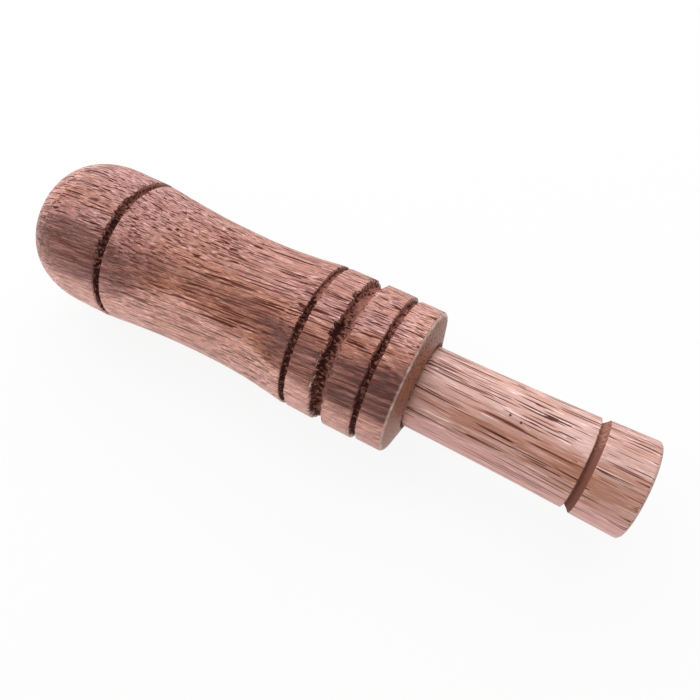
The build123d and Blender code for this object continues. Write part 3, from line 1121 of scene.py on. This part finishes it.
def make_reed(node, material):
    """A reed as a thin strip with softened edges, with its rows closer together towards its tip."""
    low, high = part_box(node)
    edge = REED_EDGE_SHARE * (high.z - low.z)
    tip = low.x + edge + np.linspace(0, 1, REED_TIP_ROWS) ** 2 * REED_TIP
    places = np.concatenate([tip, np.linspace(low.x + REED_TIP, high.x - edge, REED_ROWS)[1:]])
    across = np.linspace(-1, 1, REED_ACROSS)
    sections = []
    for x, half in zip(places, half_width(node, places)):
        bottom = [(x, share * (half - edge), low.z) for share in across]
        top = [(x, share * (half - edge), high.z) for share in across[::-1]]
        near_side = [(x, half, low.z + edge), (x, half, high.z - edge)]
        far_side = [(x, -half, high.z - edge), (x, -half, low.z + edge)]
        sections.append(bottom + near_side + top + far_side)
    made = add_object(node + "_strip", strip_mesh(node, np.array(sections)), material)
    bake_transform(made)
    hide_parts(node)


def make_turned(name, node, shown_from, slot, look, fibre, styles, stripes, around, end_wear, seed):
    """A turned piece in place of its CAD node, with the grooves beyond shown_from torn and burnt."""
    turning = Turning(node, shown_from, around, seed)
    turning.shape(styles, end_wear)
    turning.figure(stripes)
    made = turning.build(name, fibre, wood_material(slot, look))
    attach(made, node)
    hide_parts(node)


def dress_node(node, material):
    """Gives a carried CAD node its finished material."""
    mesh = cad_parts[node].data
    mesh.materials.clear()
    mesh.materials.append(material)


def seen_directly(s):
    """1 for what the camera sees, also in a reflection or through glass, and 0 for light on other things."""
    path = s.add("LightPath", {})
    seen = s.larger(path.outputs["Is Camera Ray"], path.outputs["Is Glossy Ray"])
    return s.larger(seen, path.outputs["Is Transmission Ray"])


def make_floor():
    s = Shader(bpy.data.materials.new("floor"))
    glow = s.add("Emission", {"Color": WHITE, "Strength": 1.0}).outputs[0]
    share = s.times(seen_directly(s), FLOOR_WHITE)
    paint = s.finish(Base_Color=FLOOR_PAINT, Roughness=FLOOR_ROUGHNESS)
    mixed = s.add("MixShader", {0: share, 1: s.surface.outputs[0], 2: glow}).outputs[0]
    s.put(s.tree.nodes["Material Output"].inputs["Surface"], mixed)
    corners = [(x * FLOOR_REACH, y * FLOOR_REACH, 0) for x, y in ((-1, -1), (1, -1), (1, 1), (-1, 1))]
    mesh = bpy.data.meshes.new("floor")
    mesh.from_pydata(corners, [], [(0, 1, 2, 3)])
    floor = add_object("floor", mesh, paint)


def from_view(azimuth, elevation):
    """The direction towards a viewer at that azimuth and elevation."""
    across = math.cos(elevation)
    return Vector((math.sin(azimuth) * across, -math.cos(azimuth) * across, math.sin(elevation)))


def add_facing(name, data, aim, towards, distance):
    """Adds a lamp or camera that stands at a distance towards one side of its aim and looks back at it."""
    made = bpy.data.objects.new(name, data)
    made.location = aim + towards * distance
    made.rotation_mode = "QUATERNION"
    made.rotation_quaternion = (-towards).to_track_quat("-Z", "Y")
    bpy.context.scene.collection.objects.link(made)
    return made


def add_softbox(name, azimuth, elevation, distance, size, power):
    lamp = bpy.data.lights.new(name, "AREA")
    lamp.shape = "RECTANGLE"
    lamp.size, lamp.size_y = size
    lamp.energy = power
    towards = from_view(math.radians(azimuth), math.radians(elevation))
    add_facing(name, lamp, Vector((0, 0, AXIS_HEIGHT)), towards, distance)


def make_light():
    s = Shader(bpy.data.worlds.new("studio"))
    background = s.tree.nodes["Background"]
    s.put(background.inputs["Color"], WHITE)
    s.put(background.inputs["Strength"], s.ramp(seen_directly(s), 0.0, 1.0, WORLD_LIGHT, 1.0))
    bpy.context.scene.world = s.owner
    view = math.degrees(VIEW_AZIMUTH)
    add_softbox("back_softbox", view + 180, elevation=54, distance=0.8, size=(1.0, 0.8), power=5.7)
    add_softbox("backdrop", view + 180, elevation=14, distance=1.0, size=(1.6, 0.5), power=2.8)
    add_softbox("left_softbox", view - 90, elevation=55, distance=0.8, size=(0.5, 0.5), power=1.1)
    add_softbox("front_strip", view, elevation=3, distance=0.7, size=(1.6, 0.2), power=2.0)


def make_camera():
    right = Vector((math.cos(VIEW_AZIMUTH), math.sin(VIEW_AZIMUTH), 0))
    towards = from_view(VIEW_AZIMUTH, VIEW_ELEVATION)
    up = towards.cross(right)
    across_axis = (right.x * up - up.x * right).normalized()
    aim = Vector((AIM_ALONG_AXIS, 0, AXIS_HEIGHT)) + across_axis * AIM_OFF_AXIS
    camera = bpy.data.cameras.new("camera")
    camera.lens = VIEW_LENS
    camera.sensor_width = SENSOR_WIDTH
    camera.clip_start = CLIP_START
    bpy.context.scene.camera = add_facing("camera", camera, aim, towards, VIEW_DISTANCE)


make_turned(
    "turned_barrel",
    node="barrel",
    shown_from=barrel_low.x + 5 * MM,
    slot="barrel_wood",
    look=BARREL_LOOK,
    fibre=BARREL_FIBRE,
    styles=BARREL_GROOVES,
    stripes=BARREL_STRIPES,
    around=360,
    end_wear=0.35 * MM,
    seed=1,
)
make_turned(
    "turned_insert",
    node="insert",
    shown_from=barrel_high.x,
    slot="insert_wood",
    look=INSERT_LOOK,
    fibre=INSERT_FIBRE,
    styles=INSERT_GROOVES,
    stripes=INSERT_STRIPES,
    around=300,
    end_wear=0.05 * MM,
    seed=50,
)

rubber = plain_material(
    "seal_rubber",
    colour=(0.012, 0.012, 0.012),
    shade=(0.03, 0.03, 0.03),
    grain=0.2 * MM,
    roughness=0.55,
    bump=0.2,
)
plastic = plain_material(
    "tone_board_plastic",
    colour=(0.02, 0.02, 0.021),
    shade=(0.035, 0.035, 0.036),
    grain=0.15 * MM,
    roughness=0.42,
    bump=0.15,
)
for ring in ("front_o_ring", "rear_o_ring"):
    dress_node(ring, rubber)
dress_node("tone_board", plastic)
dress_node("reed_wedge", cork_material())

film = film_material()
for reed in ("main_reed", "top_reed"):
    make_reed(reed, film)

make_floor()
make_light()
make_camera()
bpy.context.scene.view_settings.view_transform = "Standard"
